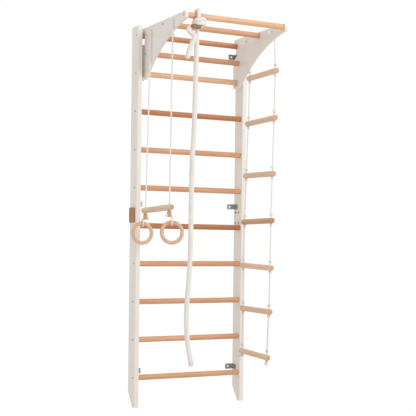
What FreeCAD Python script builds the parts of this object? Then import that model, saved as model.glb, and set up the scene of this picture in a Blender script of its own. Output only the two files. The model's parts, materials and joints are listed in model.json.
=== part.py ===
import FreeCAD, Part
import math
import os
from FreeCAD import Vector

# Children's wall bars with a hook-on pull-up frame, a climbing rope, a trapeze with two
# rings and a rope ladder. Lengths are in millimetres and angles in degrees.
# X runs across with 0 midway between the uprights, Y runs into the wall with 0 on the
# wall's face, and heights are measured from the floor. The finished pieces are moved so
# that the origin is the centre of the four outer wall screws.

# Uprights, each of two boards end to end, which meet above one of the rungs
upright_height = 2205.0
upright_depth = 96.0
upright_thickness = 28.0
upright_edge_round = 3.0
upright_top_round = 9.0
inner_width = 660.0
foot_depth = 31.0
skirting_cut_height = 85.0

# Wall rungs
rung_count = 10
lowest_rung_height = 171.0
highest_rung_drop = 54.0
rungs_in_lower_boards = 5
joint_rise = 61.0
rung_diameter = 32.0
rung_setback = 29.0
rung_socket_depth = 10.0
socket_clearance = 0.1

# Wood screws that hold the rungs and the bars
screw_head_diameter = 9.0
screw_head_height = 3.0
screw_head_proud = 0.8
screw_shank_diameter = 5.0
screw_bite = 35.0
screw_clearance = 0.05

# Plates over the joints of the uprights, with their bolts and insert nuts
joint_plate_height = 87.0
joint_plate_thickness = 6.0
joint_plate_front_inset = 16.0
joint_plate_rear_inset = 2.0
joint_plate_corner_round = 4.0
joint_bolt_setback = 56.0
joint_bolt_spacing_y = 40.0
joint_bolt_spacing_z = 63.0
joint_bolt_diameter = 6.0
joint_bolt_head_diameter = 9.5
joint_bolt_head_height = 3.0
joint_bolt_clearance = 0.2
insert_nut_diameter = 9.0
insert_nut_length = 5.0
insert_nut_clearance = 0.05

# Wall brackets
bracket_leg = 50.0
bracket_height = 32.0
bracket_thickness = 2.5
bracket_bend_round = 2.0
bracket_corner_round = 5.0
bracket_hole_setout = 31.0
wall_hole_diameter = 10.0
bracket_top_drop = 108.0
bracket_middle_rise = 67.0
bracket_bottom_height = 201.0
bracket_screw_length = 22.0
bracket_screw_head_height = 2.2

# Pull-up frame: side plates
plate_gap = 17.0
plate_thickness = 16.0
plate_rear_setout = 31.0
plate_front_reach = 546.0
plate_top_rear_rise = 44.0
plate_top_front_rise = 30.0
plate_tip_height = 41.0
plate_toe_reach = 4.0
plate_bottom_drop = 36.0
arch_rise = 48.0
plate_rear_round = 26.0
plate_tip_round = 11.0
plate_toe_round = 7.0
plate_edge_round = 2.0

# Pull-up frame: slots that hook over the two top rungs
hook_clearance = 0.3
hook_lip_drop = 10.0
hook_mouth_drop = 58.0
hook_mouth_fall = 39.0

# Pull-up frame: bars
bar_diameter = 32.0
front_bar_reach = 522.0
middle_bar_reach = 248.0
rear_bar_reach = 0.0
front_bar_drop = 18.0
middle_bar_drop = 21.5
rear_bar_drop = 150.0

# Thin rope of the trapeze and the ladder, and the holes that it hangs from
thin_rope_diameter = 8.0
thin_rope_clearance = 1.0
rope_hole_front_reach = 395.0
rope_hole_rear_reach = 95.0
rope_hole_drop = 17.0
stop_knot_diameter = 19.0
stop_knot_flat = 2.5
plate_knuckle_diameter = 9.0
plate_knuckle_gap = 0.5
running_gap = 0.3
taut_bend_radius = 80.0
knot_diameter = 18.0
knot_height = 16.0
rope_fit = 0.05

# Trapeze
trapeze_bar_overhang = 30.0
trapeze_bar_diameter = 33.0
trapeze_bar_round = 9.0
trapeze_drop = 1023.3
trapeze_lean = 15.0
trapeze_turn_deg = 2.6
trapeze_tilt_deg = 1.9
trapeze_knot_drop = 80.0

# Wooden toggles and rings under the trapeze
toggle_length = 34.0
toggle_diameter = 24.0
toggle_end_diameter = 15.0
toggle_gap = 1.5
toggle_bore_depth = 14.0
toggle_knot_diameter = 16.0
ring_knuckle_diameter = 10.0
ring_knuckle_gap = 0.5
ring_tube_diameter = 21.0
ring_outer_diameter = 132.0
ring_front_drop = 91.0
ring_rear_drop = 84.0
ring_front_turn_deg = -24.0
ring_rear_turn_deg = -4.0
loop_end_spread = 9.0
loop_fit = 0.2

# Rope ladder
ladder_rung_overhang = 17.5
ladder_rung_diameter = 33.0
ladder_rung_round = 5.0
ladder_knot_lift = 20.0
ladder_plate_gap = 0.8
ladder_tail = 16.0
ladder_top_drop = 223.6
ladder_bottom_height = 304.2
ladder_top_reach = 251.0
ladder_bottom_reach = 191.0
# For each rung from the top: how far down the ladder its centre lies and how much of the
# ladder's lean it has, as shares, and how far it is turned and tilted
ladder_drop_shares = (0.0, 0.164, 0.356, 0.5224, 0.6849, 0.8407, 1.0)
ladder_lean_shares = (0.0, 0.167, 0.433, 0.617, 0.75, 0.783, 1.0)
ladder_turns_deg = (-0.2, 0.4, 0.8, 1.4, 2.2, 0.9, -0.6)
ladder_tilts_deg = (-0.2, 0.4, -0.9, 0.7, -1.6, -0.3, -1.5)

# Climbing rope, knotted round the front bar
climbing_rope_diameter = 26.0
knot_strand_diameter = 22.0
climbing_rope_setout = 77.0
exit_setout = 63.0
knot_to_exit = 76.0
loop_spacing = 19.0
wrap_radius = 26.0
wrap_upper_tilt_deg = -18.0
wrap_lower_tilt_deg = 17.0
wrap_upper_drop = 30.0
wrap_lower_drop = 44.0
core_radius = 16.0
core_lift = 9.0
rope_toggle_length = 56.0
rope_toggle_diameter = 24.0
rope_toggle_setout = 43.0
rope_toggle_drop = 63.5
whipping_length = 22.0
whipping_diameter = 28.0
whipping_fit = 0.1
# The rope's route from its exit under the knot, as (across, down) places
climbing_rope_route = (
    (0.0, 0.0),
    (-2.0, 111.0),
    (-5.0, 274.0),
    (-8.0, 451.0),
    (-12.0, 574.0),
    (-18.5, 650.0),
    (-21.0, 745.0),
    (-22.0, 850.0),
    (-22.3, 990.0),
    (-23.2, 1130.0),
    (-25.5, 1240.0),
    (-32.5, 1345.0),
    (-40.0, 1435.0),
    (-43.5, 1520.0),
    (-41.0, 1607.0),
    (-30.5, 1695.0),
    (-9.5, 1790.0),
)
# The short tail's route, from the knot's side to beside and before the rope, as
# (across, forward, down) places
tail_route = (
    (-8.0, 0.0, -30.0),
    (-36.0, 0.0, -24.0),
    (-49.5, 4.0, -3.0),
    (-49.0, 17.0, 21.0),
    (-44.0, 29.0, 42.0),
    (-51.0, 31.0, 80.0),
    (-65.0, 31.0, 126.0),
    (-68.0, 31.0, 158.0),
)

# Cuts run past the faces that they open by this much
overrun = 1.0
# Share of a route's shorter run that an arc takes at each end
arc_share = 0.45
# Shares of a toggle's length at which its straight middle begins and ends
toggle_middle_shares = (0.3, 0.7)
# Share of a toggle's length at which its cross bore lies
toggle_bore_share = 0.8

# Places that follow from the sizes
top_rung = upright_height - highest_rung_drop
rung_pitch = (top_rung - lowest_rung_height) / (rung_count - 1)
hooked_rung = top_rung - rung_pitch
joined_rung = lowest_rung_height + rung_pitch * (rungs_in_lower_boards - 1)
lower_board_height = joined_rung + joint_rise
bracket_top_height = upright_height - bracket_top_drop
bracket_middle_height = lower_board_height + bracket_middle_rise
wall_mount_height = (bracket_top_height + bracket_bottom_height) / 2
half_width = inner_width / 2
upright_front = -upright_depth
rung_radius = rung_diameter / 2
rung_y = upright_front + rung_setback
plate_outer = half_width - plate_gap
plate_inner = plate_outer - plate_thickness
plate_rear = -plate_rear_setout
plate_front = upright_front - plate_front_reach
plate_toe = upright_front - plate_toe_reach
plate_top_rear_height = top_rung + plate_top_rear_rise
plate_top_front_height = top_rung + plate_top_front_rise
plate_bottom_height = hooked_rung - plate_bottom_drop
bar_radius = bar_diameter / 2
thin_radius = thin_rope_diameter / 2
thin_bore = thin_radius + thin_rope_clearance
hang_x = plate_outer + plate_knuckle_gap + plate_knuckle_diameter / 2
hang_drop = plate_knuckle_diameter / 2 + running_gap
rope_hole_gap = rope_hole_front_reach - rope_hole_rear_reach
rope_hole_height = plate_top_front_height - rope_hole_drop
trapeze_bar_length = rope_hole_gap + 2 * trapeze_bar_overhang
ladder_rung_length = rope_hole_gap + 2 * ladder_rung_overhang
ring_radius = (ring_outer_diameter - ring_tube_diameter) / 2
rope_radius = climbing_rope_diameter / 2
strand_radius = knot_strand_diameter / 2

UP = Vector(0, 0, 1)
ACROSS = Vector(1, 0, 0)
INTO_WALL = Vector(0, 1, 0)


def rung_height(index):
    """Height of a wall rung's axis, counted from 0 at the bottom."""
    return lowest_rung_height + rung_pitch * index


def plate_top(y):
    """Height of the side plates' top edge at a place along their depth."""
    share = (y - plate_front) / (plate_rear - plate_front)
    return plate_top_front_height + share * (plate_top_rear_height - plate_top_front_height)


def reach_y(reach):
    """Place along Y of what stands this far in front of the uprights."""
    return upright_front - reach


def rod(diameter, start, end):
    """Round rod from one point to another."""
    return Part.makeCylinder(diameter / 2, (end - start).Length, start, end - start)


def slab(x_low, x_high, outline):
    """Board of constant thickness in X, whose outline is a closed list of edges."""
    face = Part.Face(Part.Wire(outline))
    face.translate(Vector(x_low, 0, 0))
    return face.extrude(ACROSS * (x_high - x_low))


def polygon(points):
    """Edges of a closed polygon through (y, z) places."""
    corners = [Vector(0, y, z) for y, z in points]
    return [
        Part.LineSegment(a, b).toShape() for a, b in zip(corners, corners[1:] + corners[:1])
    ]


def edges_along(shape, direction, chosen=lambda middle: True):
    """Straight edges of a shape that run along a direction and pass a test of their middle."""
    found = []
    for edge in shape.Edges:
        if isinstance(edge.Curve, (Part.Line, Part.LineSegment)):
            run = edge.tangentAt(edge.FirstParameter)
            if run.cross(direction).Length < 1e-6 and chosen(edge.CenterOfMass):
                found.append(edge)
    return found


def rim_edges(shape, chosen):
    """Edges round the two flat faces across X that pass a test of their middle."""
    found = []
    for face in shape.Faces:
        if abs(face.normalAt(0, 0).cross(ACROSS).Length) < 1e-6:
            found += [edge for edge in face.Edges if chosen(edge.CenterOfMass)]
    return found


def rounded_path(points, largest_radius=math.inf):
    """Straight runs joined by tangent arcs, with the radii of the arcs."""
    edges = []
    radii = []
    start = points[0]
    for before, corner, after in zip(points, points[1:], points[2:]):
        coming = (corner - before).normalize()
        going = (after - corner).normalize()
        turn = coming.getAngle(going)
        shorter = min((corner - before).Length, (after - corner).Length)
        radius = min(arc_share * shorter / math.tan(turn / 2), largest_radius)
        reach = radius * math.tan(turn / 2)
        inwards = (going - coming).normalize()
        middle = corner + inwards * (radius / math.cos(turn / 2) - radius)
        arc_start = corner - coming * reach
        arc_end = corner + going * reach
        edges.append(Part.LineSegment(start, arc_start).toShape())
        edges.append(Part.Arc(arc_start, middle, arc_end).toShape())
        radii.append(radius)
        start = arc_end
    edges.append(Part.LineSegment(start, points[-1]).toShape())
    return Part.Wire(edges), radii


def tube(name, path, diameter):
    """Solid round tube along a path, with its volume set against section times length."""
    first = path.OrderedEdges[0]
    start = first.valueAt(first.FirstParameter)
    section = Part.Wire(Part.makeCircle(diameter / 2, start, first.tangentAt(first.FirstParameter)))
    solid = path.makePipeShell([section], True, False)
    expected = math.pi * diameter**2 / 4 * path.Length
    print(f"{name}: {path.Length:.0f} mm long, volume {solid.Volume / expected:.4f} of section x length")
    return solid


def cord(name, points, diameter, largest_radius=math.inf):
    """Tube along a cord's route, printing the radii of its arcs."""
    path, radii = rounded_path(points, largest_radius)
    if radii:
        print(f"{name}: arcs of radius", ", ".join(f"{radius:.0f}" for radius in radii))
    return tube(name, path, diameter)


def wood_screw(head_face, direction, length):
    """Screw with a flat head that stands a little proud of the face it is driven into."""
    head_top = head_face - direction * screw_head_proud
    head_seat = head_top + direction * screw_head_height
    head = rod(screw_head_diameter, head_top, head_seat)
    shank = rod(screw_shank_diameter, head_seat, head_face + direction * length)
    return head.fuse(shank).removeSplitter()


def wood_screw_hole(head_face, direction, length):
    """Space that a wood screw needs: the sunk head, the shank and a little room."""
    head_seat = head_face + direction * (screw_head_height - screw_head_proud)
    sunk = rod(
        screw_head_diameter + 2 * screw_clearance, head_face - direction * overrun, head_seat
    )
    shank = rod(
        screw_shank_diameter + 2 * screw_clearance,
        head_face,
        head_face + direction * (length + screw_clearance),
    )
    return sunk.fuse(shank)


def bracket_screw_place(side, height):
    """Where a bracket's screw enters the inner face of its upright."""
    return Vector(side * half_width, -bracket_hole_setout, height)


def joint_bolt_places(side):
    """Where the four joint bolts enter the inner face of an upright."""
    return [
        Vector(
            side * half_width,
            upright_front + joint_bolt_setback + along * joint_bolt_spacing_y / 2,
            lower_board_height + up * joint_bolt_spacing_z / 2,
        )
        for up in (-1, 1)
        for along in (-1, 1)
    ]


# Uprights

def upright_holes(side):
    """Everything that is bored into one upright: sockets, screws and bolts."""
    outwards = ACROSS * side
    inner = side * half_width
    outer = side * (half_width + upright_thickness)
    holes = []
    for index in range(rung_count):
        axis_point = Vector(inner, rung_y, rung_height(index))
        holes.append(
            rod(
                rung_diameter + 2 * socket_clearance,
                axis_point - outwards * overrun,
                axis_point + outwards * rung_socket_depth,
            )
        )
        holes.append(
            wood_screw_hole(
                Vector(outer, rung_y, rung_height(index)), -outwards, upright_thickness
            )
        )
    for height in (bracket_bottom_height, bracket_middle_height, bracket_top_height):
        place = bracket_screw_place(side, height)
        holes.append(
            rod(
                screw_shank_diameter + 2 * screw_clearance,
                place - outwards * overrun,
                place + outwards * (bracket_screw_length + screw_clearance),
            )
        )
    for place in joint_bolt_places(side):
        holes.append(
            rod(
                joint_bolt_diameter + 2 * joint_bolt_clearance,
                place - outwards * overrun,
                place + outwards * (upright_thickness + overrun),
            )
        )
    return Part.makeCompound(holes)


def upright_board(side, outline):
    """One board of an upright from its outline, with rounded long edges and its holes."""
    near = min(side * half_width, side * (half_width + upright_thickness))
    board = slab(near, near + upright_thickness, polygon(outline))
    top_edges = edges_along(board, ACROSS, lambda middle: middle.z > upright_height - overrun)
    if top_edges:
        board = board.makeFillet(upright_top_round, top_edges)
    rims = rim_edges(board, lambda middle: abs(middle.z - lower_board_height) > overrun)
    board = board.makeFillet(upright_edge_round, rims)
    return board.cut(upright_holes(side))


def lower_board(side):
    """Lower board, cut away behind its foot to clear a skirting."""
    return upright_board(
        side,
        [
            (upright_front, 0),
            (upright_front, lower_board_height),
            (0, lower_board_height),
            (0, skirting_cut_height),
            (upright_front + foot_depth, 0),
        ],
    )


def upper_board(side):
    """Upper board, with rounded top corners."""
    return upright_board(
        side,
        [
            (upright_front, lower_board_height),
            (upright_front, upright_height),
            (0, upright_height),
            (0, lower_board_height),
        ],
    )


# Joint plates

def joint_plate(side):
    """Plate on the outside of an upright that bridges its two boards."""
    outwards = ACROSS * side
    near = side * (half_width + upright_thickness)
    low = lower_board_height - joint_plate_height / 2
    high = lower_board_height + joint_plate_height / 2
    front = upright_front + joint_plate_front_inset
    rear = -joint_plate_rear_inset
    x_low = min(near, near + side * joint_plate_thickness)
    plate = slab(
        x_low,
        x_low + joint_plate_thickness,
        polygon([(front, low), (front, high), (rear, high), (rear, low)]),
    )
    plate = plate.makeFillet(joint_plate_corner_round, edges_along(plate, ACROSS))
    for place in joint_bolt_places(side):
        mouth = Vector(near, place.y, place.z)
        bore = rod(
            insert_nut_diameter + 2 * insert_nut_clearance,
            mouth - outwards * overrun,
            mouth + outwards * insert_nut_length,
        )
        plate = plate.cut(bore)
    return plate


def joint_bolt(side, place):
    """Bolt with a round head on the upright's inner face, screwed into its insert nut."""
    outwards = ACROSS * side
    head = rod(joint_bolt_head_diameter, place - outwards * joint_bolt_head_height, place)
    head = head.makeFillet(
        joint_bolt_head_height / 3,
        [edge for edge in head.Edges if abs(edge.CenterOfMass.x) < abs(place.x) - overrun],
    )
    shank_end = place + outwards * (upright_thickness + insert_nut_length - insert_nut_clearance)
    return head.fuse(rod(joint_bolt_diameter, place, shank_end)).removeSplitter()


def insert_nut(side, place):
    """Threaded sleeve sunk into the joint plate."""
    outwards = ACROSS * side
    mouth = place + outwards * upright_thickness
    sleeve = rod(
        insert_nut_diameter, mouth + outwards * insert_nut_clearance, mouth + outwards * insert_nut_length
    )
    bore = rod(
        joint_bolt_diameter + 2 * insert_nut_clearance,
        mouth - outwards * overrun,
        mouth + outwards * (insert_nut_length + overrun),
    )
    return sleeve.cut(bore)


# Wall rungs

def wall_rung(height):
    """Round rung that stands in a socket of each upright."""
    reach = half_width + rung_socket_depth - socket_clearance
    rung = rod(rung_diameter, Vector(-reach, rung_y, height), Vector(reach, rung_y, height))
    for side in (-1, 1):
        head_face = Vector(side * (half_width + upright_thickness), rung_y, height)
        rung = rung.cut(
            wood_screw_hole(head_face, ACROSS * -side, upright_thickness + screw_bite)
        )
    return rung


def rung_screws():
    """One screw through each upright into each end of every rung."""
    screws = []
    for side in (-1, 1):
        for index in range(rung_count):
            head_face = Vector(
                side * (half_width + upright_thickness), rung_y, rung_height(index)
            )
            screws.append(
                wood_screw(head_face, ACROSS * -side, upright_thickness + screw_bite)
            )
    return screws


# Wall brackets

def wall_bracket(side, height):
    """Steel angle with one leg on the upright's inner face and one flat on the wall."""
    inner = side * half_width
    low = height - bracket_height / 2
    corners = [
        (inner, 0),
        (inner, -bracket_leg),
        (inner - side * bracket_thickness, -bracket_leg),
        (inner - side * bracket_thickness, -bracket_thickness),
        (inner - side * bracket_leg, -bracket_thickness),
        (inner - side * bracket_leg, 0),
    ]
    points = [Vector(x, y, low) for x, y in corners]
    bracket = Part.Face(Part.makePolygon(points + points[:1])).extrude(UP * bracket_height)
    bend = edges_along(
        bracket,
        UP,
        lambda middle: abs(middle.y + bracket_thickness) < screw_clearance
        and abs(abs(middle.x) - half_width + bracket_thickness) < screw_clearance,
    )
    bracket = bracket.makeFillet(bracket_bend_round, bend)
    ends = edges_along(bracket, INTO_WALL, lambda middle: abs(middle.x) < half_width - bracket_leg / 2)
    ends += edges_along(bracket, ACROSS, lambda middle: middle.y < -bracket_leg / 2)
    bracket = bracket.makeFillet(bracket_corner_round, ends)
    wall_hole = Vector(side * (half_width - bracket_hole_setout), 0, height)
    bracket = bracket.cut(
        rod(
            wall_hole_diameter,
            wall_hole + INTO_WALL * overrun,
            wall_hole - INTO_WALL * (bracket_thickness + overrun),
        )
    )
    screw = bracket_screw_place(side, height)
    return bracket.cut(
        rod(
            screw_shank_diameter + 2 * screw_clearance,
            screw + ACROSS * side * overrun,
            screw - ACROSS * side * (bracket_thickness + overrun),
        )
    )


def bracket_screw(side, height):
    """Screw that holds a bracket to its upright."""
    outwards = ACROSS * side
    place = bracket_screw_place(side, height)
    head_seat = place - outwards * bracket_thickness
    head_top = head_seat - outwards * bracket_screw_head_height
    head = rod(screw_head_diameter, head_top, head_seat)
    head = head.makeFillet(
        bracket_screw_head_height / 2,
        [edge for edge in head.Edges if abs(edge.CenterOfMass.x - head_top.x) < screw_clearance],
    )
    shank = rod(screw_shank_diameter, head_seat, place + outwards * bracket_screw_length)
    return head.fuse(shank).removeSplitter()


# Pull-up frame

def bar_place(reach, drop):
    """Where the axis of a bar lies, as (y, z)."""
    y = reach_y(reach)
    return y, plate_top(y) - drop


front_bar_y, front_bar_z = bar_place(front_bar_reach, front_bar_drop)
middle_bar_y, middle_bar_z = bar_place(middle_bar_reach, middle_bar_drop)
rear_bar_y, rear_bar_z = bar_place(rear_bar_reach, rear_bar_drop)
bar_places = ((front_bar_y, front_bar_z), (middle_bar_y, middle_bar_z), (rear_bar_y, rear_bar_z))
rope_holes = [
    (reach_y(reach), rope_hole_height) for reach in (rope_hole_front_reach, rope_hole_rear_reach)
]


def plate_outline():
    """Edges round a side plate: straight top, blunt tip and the arch under it."""
    tip_bottom = Vector(0, plate_front, plate_top_front_height - plate_tip_height)
    toe = Vector(0, plate_toe, plate_bottom_height)
    tip_top = Vector(0, plate_front, plate_top_front_height)
    rear_top = Vector(0, plate_rear, plate_top_rear_height)
    rear_bottom = Vector(0, plate_rear, plate_bottom_height)
    chord = (toe - tip_bottom).normalize()
    crown = (tip_bottom + toe) / 2 + ACROSS.cross(chord) * arch_rise
    return [
        Part.LineSegment(tip_bottom, tip_top).toShape(),
        Part.LineSegment(tip_top, rear_top).toShape(),
        Part.LineSegment(rear_top, rear_bottom).toShape(),
        Part.LineSegment(rear_bottom, toe).toShape(),
        Part.Arc(toe, crown, tip_bottom).toShape(),
    ]


def hook_slots(x_low, x_high):
    """Spaces in a side plate for the two rungs: a hook with a rear mouth, and a notch."""
    slot_radius = rung_radius + hook_clearance
    front_wall = rung_y - slot_radius
    rear_wall = rung_y + slot_radius
    lip = top_rung - hook_lip_drop
    corner = top_rung - hook_mouth_drop + hook_mouth_fall / 5
    fall_rate = hook_mouth_fall / (plate_rear - front_wall)
    past_rear = plate_rear + overrun
    mouth = polygon(
        [
            (front_wall, top_rung),
            (rear_wall, top_rung),
            (rear_wall, lip),
            (past_rear, lip),
            (past_rear, corner - fall_rate * (past_rear - front_wall)),
            (front_wall, corner),
        ]
    )
    low = plate_bottom_height - overrun
    notch = polygon(
        [(front_wall, hooked_rung), (rear_wall, hooked_rung), (rear_wall, low), (front_wall, low)]
    )
    rounds = [
        rod(2 * slot_radius, Vector(x_low, rung_y, height), Vector(x_high, rung_y, height))
        for height in (top_rung, hooked_rung)
    ]
    return Part.makeCompound([slab(x_low, x_high, mouth), slab(x_low, x_high, notch)] + rounds)


def frame_plate(side):
    """Side plate that hooks over the two top rungs and carries the bars."""
    outwards = ACROSS * side
    x_low = min(side * plate_inner, side * plate_outer)
    x_high = x_low + plate_thickness
    plate = slab(x_low, x_high, plate_outline())

    def near(y, z):
        return edges_along(
            plate, ACROSS, lambda middle: abs(middle.y - y) < overrun and abs(middle.z - z) < overrun
        )

    plate = plate.makeFillet(plate_rear_round, near(plate_rear, plate_top_rear_height))
    tip = near(plate_front, plate_top_front_height)
    tip += near(plate_front, plate_top_front_height - plate_tip_height)
    plate = plate.makeFillet(plate_tip_round, tip)
    plate = plate.cut(hook_slots(x_low - overrun, x_high + overrun))
    toes = edges_along(
        plate, ACROSS, lambda middle: abs(middle.z - plate_bottom_height) < overrun
    )
    plate = plate.makeFillet(plate_toe_round, toes)
    plate = plate.makeFillet(plate_edge_round, rim_edges(plate, lambda middle: True))
    for y, z in bar_places:
        head_face = Vector(side * plate_outer, y, z)
        plate = plate.cut(wood_screw_hole(head_face, -outwards, plate_thickness + overrun))
    for y, z in rope_holes:
        plate = plate.cut(
            rod(
                2 * thin_bore,
                Vector(side * (plate_inner - overrun), y, z),
                Vector(side * (plate_outer + overrun), y, z),
            )
        )
    return plate


def frame_bar(y, z):
    """Round bar between the side plates."""
    bar = rod(bar_diameter, Vector(-plate_inner, y, z), Vector(plate_inner, y, z))
    for side in (-1, 1):
        head_face = Vector(side * plate_outer, y, z)
        bar = bar.cut(wood_screw_hole(head_face, ACROSS * -side, plate_thickness + screw_bite))
    return bar


def bar_screws():
    """One screw through each side plate into each end of every bar."""
    return [
        wood_screw(Vector(side * plate_outer, y, z), ACROSS * -side, plate_thickness + screw_bite)
        for side in (-1, 1)
        for y, z in bar_places
    ]


def rope_stop(seat, direction, through, stop_diameter, knuckle_diameter):
    """Rope through a hole: a knot against its mouth, and a knuckle past its other end."""
    stop_radius = stop_diameter / 2
    stop_middle = stop_knot_flat - stop_radius
    seat_radius = math.sqrt(stop_radius**2 - stop_middle**2)
    knuckle_radius = knuckle_diameter / 2
    stub_end = through - math.sqrt(knuckle_radius**2 - thin_radius**2)
    pole = Vector(0, 0, stop_middle - stop_radius)
    tip = Vector(0, 0, through + knuckle_radius)
    corners = [
        Vector(seat_radius, 0, 0),
        Vector(thin_radius, 0, 0),
        Vector(thin_radius, 0, stub_end),
    ]
    outline = Part.Wire(
        [
            Part.Arc(pole, Vector(stop_radius, 0, stop_middle), corners[0]).toShape(),
            Part.LineSegment(corners[0], corners[1]).toShape(),
            Part.LineSegment(corners[1], corners[2]).toShape(),
            Part.Arc(corners[2], Vector(knuckle_radius, 0, through), tip).toShape(),
            Part.LineSegment(tip, pole).toShape(),
        ]
    )
    stop = Part.Face(outline).revolve(Vector(0, 0, 0), UP, 360)
    stop.Placement = FreeCAD.Placement(seat, FreeCAD.Rotation(UP, direction))
    return stop


def plate_rope_stop(side, y, z):
    """Thin rope through a side plate: knotted inside, and turning down outside."""
    seat = Vector(side * plate_inner, y, z)
    through = hang_x - plate_inner
    return rope_stop(seat, ACROSS * side, through, stop_knot_diameter, plate_knuckle_diameter)


# Knots of the thin rope

def rope_knot(centre, along):
    """Round knot on a thin rope, bored for the rope that runs through it."""
    ball = Part.makeSphere(knot_diameter / 2, centre)
    direction = Vector(along).normalize()
    half = direction * knot_height / 2
    ball = ball.common(rod(2 * knot_diameter, centre - half, centre + half))
    reach = direction * knot_diameter
    return ball.cut(rod(thin_rope_diameter + 2 * rope_fit, centre - reach, centre + reach))


def turned(turn_deg, tilt_deg):
    """Direction of a bar from its rear end to its front end."""
    turn = math.radians(turn_deg)
    tilt = math.radians(tilt_deg)
    return Vector(
        math.sin(turn) * math.cos(tilt), -math.cos(turn) * math.cos(tilt), math.sin(tilt)
    )


def hung_bar(centre, direction, length, diameter, end_round, hole_places):
    """Wooden bar with rounded ends and upright holes for the ropes that it hangs on."""
    half = direction * length / 2
    bar = rod(diameter, centre - half, centre + half)
    rims = [edge for edge in bar.Edges if isinstance(edge.Curve, Part.Circle)]
    bar = bar.makeFillet(end_round, rims)
    for place in hole_places:
        bar = bar.cut(rod(2 * thin_bore, place - UP * diameter, place + UP * diameter))
    return bar


# Trapeze on the left plate

trapeze_centre = Vector(
    -hang_x - trapeze_lean,
    reach_y((rope_hole_front_reach + rope_hole_rear_reach) / 2),
    rope_hole_height - trapeze_drop,
)
trapeze_direction = turned(trapeze_turn_deg, trapeze_tilt_deg)
trapeze_holes = [
    trapeze_centre + trapeze_direction * rope_hole_gap / 2,
    trapeze_centre - trapeze_direction * rope_hole_gap / 2,
]
# For the front end and the rear end: the side on which the ring's rope leaves its toggle,
# how far the ring's centre hangs below that and how far the ring is turned
ring_sides = (1, -1)
ring_drops = (ring_front_drop, ring_rear_drop)
ring_turns = (ring_front_turn_deg, ring_rear_turn_deg)


def hang_point(index):
    """Where a rope of the trapeze begins, just under its knuckle."""
    y, z = rope_holes[index]
    return Vector(-hang_x, y, z - hang_drop)


def toggle_axis(index):
    """Top of a toggle and the direction in which it hangs, in line with its rope."""
    hole = trapeze_holes[index]
    along = (hole - hang_point(index)).normalize()
    return hole + along * (trapeze_bar_diameter / 2 + toggle_gap), along


def toggle_radius(share):
    """Radius of a toggle at a share of its length past its straight middle."""
    middle_end = toggle_middle_shares[1]
    taper = ((share - middle_end) / (1 - middle_end)) ** 2
    return toggle_diameter / 2 - taper * (toggle_diameter - toggle_end_diameter) / 2


def toggle_bore_centre(index):
    """Where a toggle's cross bore meets its axis."""
    top, along = toggle_axis(index)
    return top + along * toggle_length * toggle_bore_share


def ring_pivot(index):
    """Centre of the knuckle beside a toggle, about which its ring swings."""
    reach = toggle_radius(toggle_bore_share) + ring_knuckle_gap + ring_knuckle_diameter / 2
    return toggle_bore_centre(index) + ACROSS * ring_sides[index] * reach


def ring_centre(index):
    """Centre of a hanging ring."""
    return ring_pivot(index) - UP * ring_drops[index]


def trapeze_rope(index, name):
    """Rope from the plate's outside straight down through the bar into a toggle."""
    top, along = toggle_axis(index)
    return cord(name, [hang_point(index), top + along * toggle_bore_depth], thin_rope_diameter)


def barrel(top, along, length, diameter, end_diameter):
    """Turned wooden barrel from its top along a direction."""
    first, last = toggle_middle_shares
    end = end_diameter / 2
    swell = diameter / 2
    shoulder = (end + 2 * swell) / 3
    corners = [
        Vector(0, 0, 0),
        Vector(end, 0, 0),
        Vector(swell, 0, length * first),
        Vector(swell, 0, length * last),
        Vector(end, 0, length),
        Vector(0, 0, length),
    ]
    outline = Part.Wire(
        [
            Part.LineSegment(corners[0], corners[1]).toShape(),
            Part.Arc(corners[1], Vector(shoulder, 0, length * first / 3), corners[2]).toShape(),
            Part.LineSegment(corners[2], corners[3]).toShape(),
            Part.Arc(
                corners[3], Vector(shoulder, 0, length * (1 - first / 3)), corners[4]
            ).toShape(),
            Part.LineSegment(corners[4], corners[5]).toShape(),
            Part.LineSegment(corners[5], corners[0]).toShape(),
        ]
    )
    body = Part.Face(outline).revolve(Vector(0, 0, 0), UP, 360)
    body.Placement = FreeCAD.Placement(top, FreeCAD.Rotation(UP, along))
    return body


def toggle(index):
    """Toggle under the trapeze, bored from the top for its rope and across for the ring's."""
    top, along = toggle_axis(index)
    body = barrel(top, along, toggle_length, toggle_diameter, toggle_end_diameter)
    bore_end = top + along * (toggle_bore_depth + rope_fit)
    body = body.cut(rod(2 * (thin_radius + rope_fit), top - along * overrun, bore_end))
    middle = toggle_bore_centre(index)
    reach = ACROSS * toggle_diameter
    return body.cut(rod(2 * (thin_radius + rope_fit), middle - reach, middle + reach))


def toggle_rope_stop(index):
    """Ring's rope across a toggle: knotted on one side, and turning down on the other."""
    direction = ACROSS * ring_sides[index]
    seat = toggle_bore_centre(index) - direction * toggle_diameter / 2
    through = (ring_pivot(index) - seat).Length
    return rope_stop(seat, direction, through, toggle_knot_diameter, ring_knuckle_diameter)


def ring(index):
    """Turned wooden ring."""
    centre = ring_centre(index)
    torus = Part.makeTorus(ring_radius, ring_tube_diameter / 2, Vector(0, 0, 0), INTO_WALL)
    torus.rotate(Vector(0, 0, 0), UP, ring_turns[index])
    torus.translate(centre)
    return torus


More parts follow.
